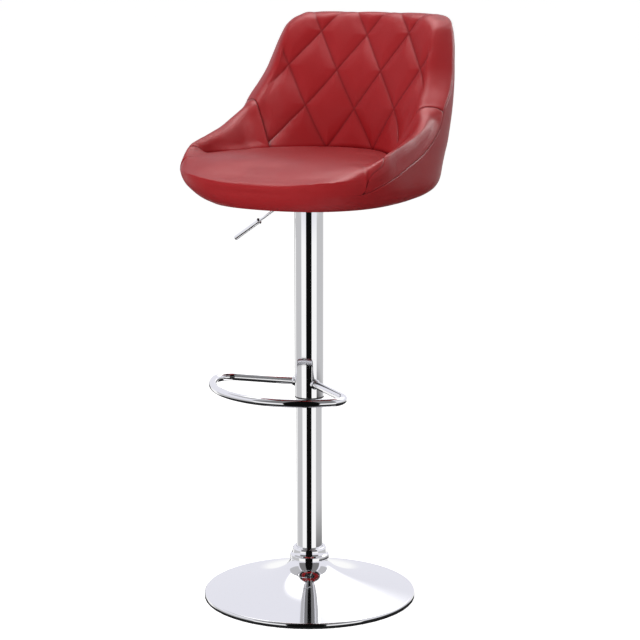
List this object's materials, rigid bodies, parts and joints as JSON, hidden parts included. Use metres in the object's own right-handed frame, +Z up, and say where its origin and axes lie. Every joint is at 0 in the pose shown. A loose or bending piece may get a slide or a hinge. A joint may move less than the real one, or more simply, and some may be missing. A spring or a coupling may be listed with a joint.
{
  "type": "adjustable swivel bar stool",
  "caption": "Bar stool with a quilted bucket seat, gas-lift column, footrest loop and round trumpet base; the seat swivels and rises.",
  "frame": {"origin": "on the floor under the middle of the stool's outline seen from above, with the seat at its highest", "axes": "+Z up along the column; the sitter faces -Y; +X is the sitter's left"},
  "size_m": [0.44, 0.4794, 1.1175],
  "materials": {
    "chrome": "polished chrome plate",
    "steel": "plain zinc-plated steel",
    "black_steel": "satin black paint",
    "black_plastic": "moulded black plastic",
    "rubber": "matt black rubber",
    "plywood": "raw plywood",
    "dust_cloth": "thin non-woven cloth",
    "red_vinyl": "smooth semi-gloss red vinyl over foam"
  },
  "bodies": {
    "base": {"base_disc": "chrome", "base_ring": "rubber", "base_brace": "black_steel", "base_socket": "black_steel", "column_tube": "chrome", "column_collar": "chrome", "column_bush": "black_plastic", "bearing_lower_race": "steel", "bearing_balls": "steel"},
    "rod": {"bearing_upper_race": "steel", "piston_rod": "chrome", "rod_clip": "steel", "piston": "black_plastic"},
    "seat": {"gas_cylinder": "black_steel", "cylinder_guide": "black_plastic", "cover_tube": "chrome", "cover_top_ring": "black_plastic", "cover_bush": "black_plastic", "footrest": "chrome", "footrest_ferrule_left": "chrome", "footrest_ferrule_right": "chrome", "seat_plate": "black_steel", "plate_hub": "black_steel", "lever_bracket": "black_steel", "lever_pin": "steel", "seat_bolt_1": "steel", "seat_bolt_2": "steel", "seat_bolt_3": "steel", "seat_bolt_4": "steel", "tee_nut_1": "steel", "tee_nut_2": "steel", "tee_nut_3": "steel", "tee_nut_4": "steel", "bottom_cloth": "dust_cloth", "seat_board": "plywood", "seat_shell": "red_vinyl", "seat_cushion": "red_vinyl", "back_pad": "red_vinyl", "arm_pad_left": "red_vinyl", "arm_pad_right": "red_vinyl"},
    "lever": {"lever_rod": "chrome", "lever_grip": "chrome"},
    "release": {"release_pin": "steel"}
  },
  "joints": [
    {"name": "seat_swivel", "type": "hinge", "parent": "base", "child": "rod", "pos_m": [0, -0.0305, 0.02], "axis": [0, 0, 1], "continuous": true},
    {"name": "height_lift", "type": "slide", "parent": "rod", "child": "seat", "axis": [0, 0, 1], "range_m": [-0.215, 0]},
    {"name": "lever_pivot", "type": "hinge", "parent": "seat", "child": "lever", "pos_m": [-0.026, -0.0305, 0.7713], "axis": [0, 1, 0], "range_deg": [0, 5], "stiffness_Nm_per_rad": 5, "springref_deg": -4.58},
    {"name": "release_travel", "type": "slide", "parent": "seat", "child": "release", "axis": [0, 0, 1], "range_m": [-0.0024, 0]}
  ],
  "couplings": [
    {"joint": "release_travel", "follows": "lever_pivot", "m_per_rad": -0.026}
  ]
}
